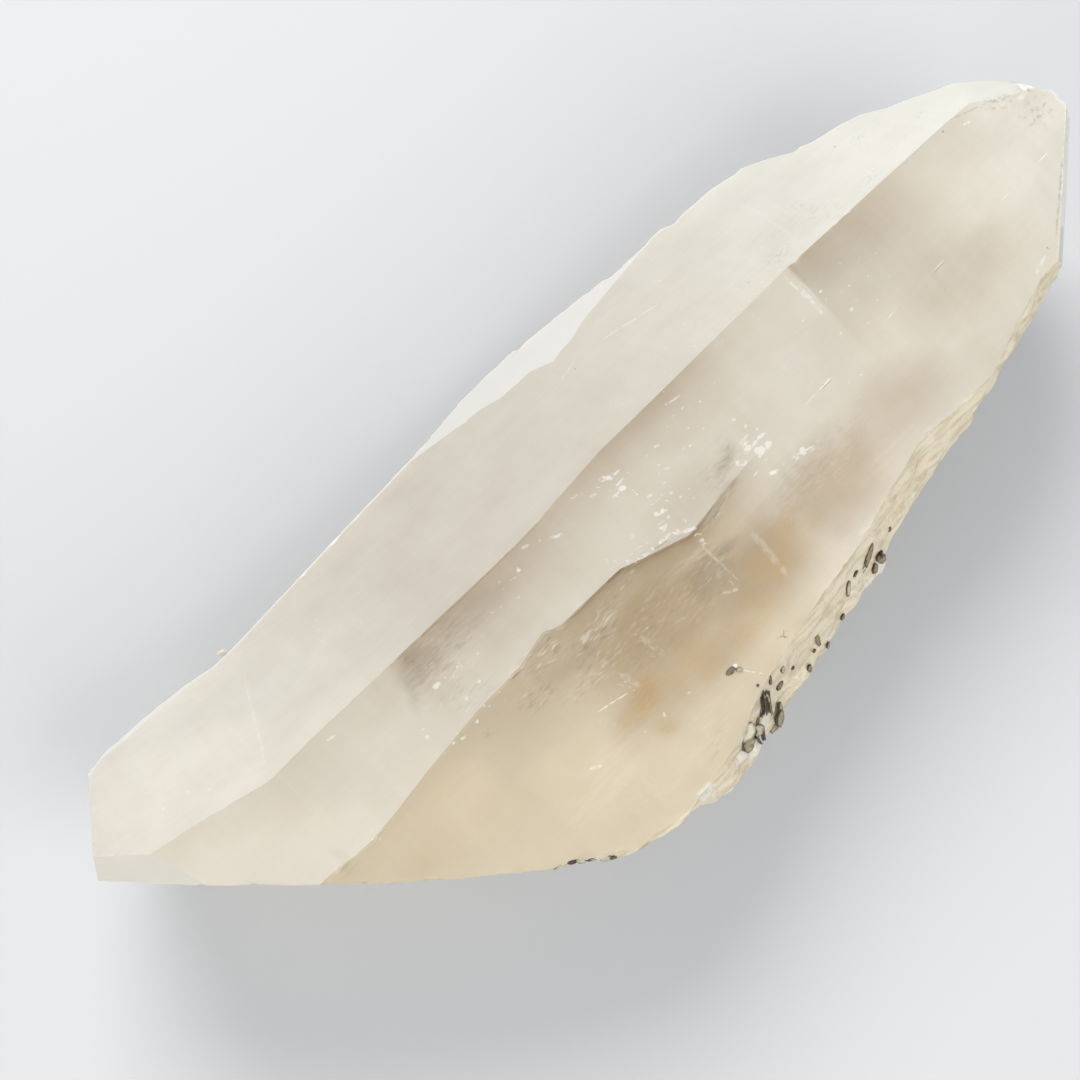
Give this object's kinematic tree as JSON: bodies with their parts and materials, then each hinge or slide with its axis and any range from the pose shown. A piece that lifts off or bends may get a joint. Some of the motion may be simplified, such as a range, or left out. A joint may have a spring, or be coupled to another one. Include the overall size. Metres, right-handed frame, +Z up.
{
  "type": "quartz crystal",
  "caption": "Long, tapered, milky quartz crystal with an off-centre point, a rough side strip and dark mica books. It lies on its flat back face.",
  "frame": {"origin": "under the middle of the crystal, on the surface it rests on", "axes": "+X along the crystal's long axis towards its point, +Z up from the face it rests on"},
  "size_m": [0.1665, 0.0701, 0.0413],
  "materials": {
    "quartz": "milky, slightly smoky, satin to glassy faces",
    "mica": "dark olive brown flakes with a golden sheen"
  },
  "bodies": {
    "root": {"quartz_point": "quartz", "mica_cluster_lower": "mica", "mica_cluster_upper": "mica", "mica_base_edge": "mica"}
  },
  "joints": []
}
